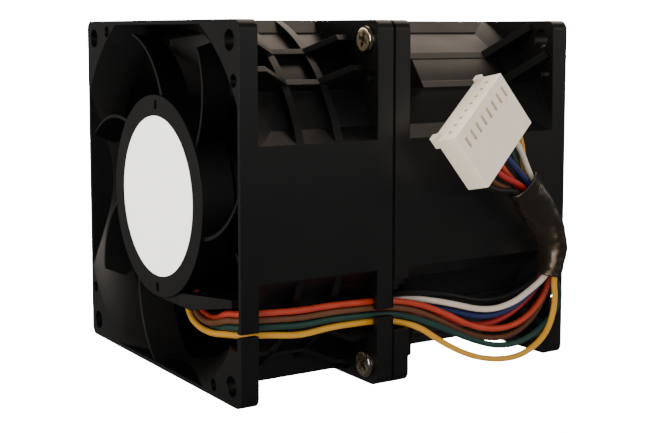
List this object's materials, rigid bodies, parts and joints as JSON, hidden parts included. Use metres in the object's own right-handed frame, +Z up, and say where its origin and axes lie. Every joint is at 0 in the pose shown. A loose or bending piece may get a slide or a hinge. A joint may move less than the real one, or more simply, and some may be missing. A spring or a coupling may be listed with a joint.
{
  "type": "axial cooling fan",
  "caption": "Square axial server fan with two back-to-back modules, counter-rotating impellers and a colour-coded lead harness ending in a flat plug.",
  "frame": {"origin": "on the fan's axis at the labelled front mounting face", "axes": "+Y along the air path from the labelled face through both modules, +Z up, +X towards the side where the leads run"},
  "size_m": [0.0937, 0.088, 0.08],
  "materials": {
    "black_plastic": "satin moulded PBT with glass fibre",
    "label_film": "bare silver-white film",
    "nickel_screw": "nickel plated",
    "ivory_nylon": "natural nylon",
    "terminal_tin": "tinned brass",
    "sleeve_film": "shrunk film",
    "yoke_steel": "drawn steel",
    "magnet_rubber": "bonded ferrite",
    "shaft_steel": "ground",
    "bearing_steel": "polished",
    "spring_steel": "drawn wire",
    "clip_plastic": "acetal",
    "tube_brass": "turned",
    "core_steel": "punched sheets",
    "insulator_plastic": "moulded nylon",
    "copper_wire": "enamelled copper",
    "board_green": "solder resist",
    "component_plastic": "moulded packages",
    "wire_black": "extruded insulation",
    "wire_brown": "extruded insulation",
    "wire_red": "extruded insulation",
    "wire_orange": "extruded insulation",
    "wire_blue": "extruded insulation",
    "wire_green": "extruded insulation",
    "wire_white": "extruded insulation",
    "wire_yellow": "extruded insulation"
  },
  "bodies": {
    "frame": {"front_frame": "black_plastic", "rear_frame": "black_plastic", "front_label": "label_film", "joining_screws": "nickel_screw", "connector_housing": "ivory_nylon", "crimp_terminals": "terminal_tin", "shrink_sleeve": "sleeve_film", "wire_black": "wire_black", "wire_brown": "wire_brown", "wire_red": "wire_red", "wire_orange": "wire_orange", "wire_blue": "wire_blue", "wire_green": "wire_green", "wire_white": "wire_white", "wire_yellow": "wire_yellow", "front_bearing_outer_rings": "bearing_steel", "front_bearing_balls": "bearing_steel", "front_bearing_tube": "tube_brass", "front_stator_core": "core_steel", "front_insulator": "insulator_plastic", "front_windings": "copper_wire", "front_circuit_board": "board_green", "front_board_components": "component_plastic", "rear_bearing_outer_rings": "bearing_steel", "rear_bearing_balls": "bearing_steel", "rear_bearing_tube": "tube_brass", "rear_stator_core": "core_steel", "rear_insulator": "insulator_plastic", "rear_windings": "copper_wire", "rear_circuit_board": "board_green", "rear_board_components": "component_plastic"},
    "front_rotor": {"front_impeller": "black_plastic", "front_rotor_yoke": "yoke_steel", "front_magnet_ring": "magnet_rubber", "front_shaft": "shaft_steel", "front_bearing_inner_rings": "bearing_steel", "front_preload_spring": "spring_steel", "front_retaining_clip": "clip_plastic"},
    "rear_rotor": {"rear_impeller": "black_plastic", "rear_rotor_yoke": "yoke_steel", "rear_magnet_ring": "magnet_rubber", "rear_shaft": "shaft_steel", "rear_bearing_inner_rings": "bearing_steel", "rear_preload_spring": "spring_steel", "rear_retaining_clip": "clip_plastic"}
  },
  "joints": [
    {"name": "front_rotor_spin", "type": "hinge", "parent": "frame", "child": "front_rotor", "pos_m": [0, 0.02, 0], "axis": [0, 1, 0], "continuous": true},
    {"name": "rear_rotor_spin", "type": "hinge", "parent": "frame", "child": "rear_rotor", "pos_m": [0, 0.062, 0], "axis": [0, 1, 0], "continuous": true}
  ]
}
